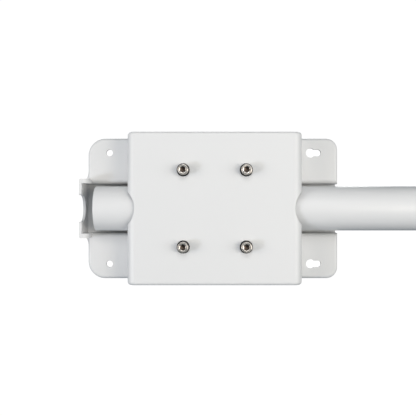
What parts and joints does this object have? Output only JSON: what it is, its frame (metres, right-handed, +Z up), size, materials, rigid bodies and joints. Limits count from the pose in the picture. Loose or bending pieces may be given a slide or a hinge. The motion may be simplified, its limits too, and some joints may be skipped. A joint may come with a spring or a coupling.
{
  "type": "security gate arm clamp",
  "caption": "Wall-mounted clamp bracket holding a round gate arm: pressed base plate, notched end stop and a lid-like cover drawn down by socket head screws.",
  "frame": {"origin": "on the wall face, under the middle of the clamp cover and level with the arm's axis", "axes": "+X along the arm towards its free end, +Y into the wall, +Z up"},
  "size_m": [0.6173, 0.0595, 0.142],
  "materials": {
    "powder_coat": "semi-matt white powder coat",
    "arm_coat": "satin white powder coat",
    "stainless": "plain stainless",
    "zinc_steel": "bright zinc plate",
    "pad_rubber": "matt black",
    "end_cap_plastic": "matt white"
  },
  "bodies": {
    "wall_bracket": {"base_plate": "powder_coat", "end_stop": "powder_coat", "stop_weld_upper": "powder_coat", "stop_weld_lower": "powder_coat", "base_pad_left": "pad_rubber", "base_pad_right": "pad_rubber", "weld_nut_1": "zinc_steel", "weld_nut_2": "zinc_steel", "weld_nut_3": "zinc_steel", "weld_nut_4": "zinc_steel"},
    "cover": {"clamp_cover": "powder_coat", "cover_pad_left": "pad_rubber", "cover_pad_right": "pad_rubber", "flat_washer_1": "stainless", "flat_washer_2": "stainless", "flat_washer_3": "stainless", "flat_washer_4": "stainless", "spring_washer_1": "stainless", "spring_washer_2": "stainless", "spring_washer_3": "stainless", "spring_washer_4": "stainless"},
    "gate_arm": {"arm_tube": "arm_coat", "arm_end_cap": "end_cap_plastic"},
    "screw_1": {"clamp_screw_1": "stainless"},
    "screw_2": {"clamp_screw_2": "stainless"},
    "screw_3": {"clamp_screw_3": "stainless"},
    "screw_4": {"clamp_screw_4": "stainless"}
  },
  "joints": [
    {"name": "arm_slide", "type": "slide", "parent": "wall_bracket", "child": "gate_arm", "axis": [1, 0, 0], "range_m": [-0.011, 0.03]},
    {"name": "cover_lift", "type": "slide", "parent": "wall_bracket", "child": "cover", "axis": [0, -1, 0], "range_m": [0, 0.004]},
    {"name": "screw_1_turn", "type": "hinge", "parent": "cover", "child": "screw_1", "pos_m": [-0.029, -0.0519, 0.0354], "axis": [0, -1, 0], "range_deg": [0, 1440]},
    {"name": "screw_2_turn", "type": "hinge", "parent": "cover", "child": "screw_2", "pos_m": [0.029, -0.0519, 0.0354], "axis": [0, -1, 0], "range_deg": [0, 1440]},
    {"name": "screw_3_turn", "type": "hinge", "parent": "cover", "child": "screw_3", "pos_m": [-0.029, -0.0519, -0.0354], "axis": [0, -1, 0], "range_deg": [0, 1440]},
    {"name": "screw_4_turn", "type": "hinge", "parent": "cover", "child": "screw_4", "pos_m": [0.029, -0.0519, -0.0354], "axis": [0, -1, 0], "range_deg": [0, 1440]}
  ],
  "couplings": [
    {"joint": "screw_1_turn", "follows": "cover_lift", "rad_per_m": 6283.2},
    {"joint": "screw_2_turn", "follows": "cover_lift", "rad_per_m": 6283.2},
    {"joint": "screw_3_turn", "follows": "cover_lift", "rad_per_m": 6283.2},
    {"joint": "screw_4_turn", "follows": "cover_lift", "rad_per_m": 6283.2}
  ]
}
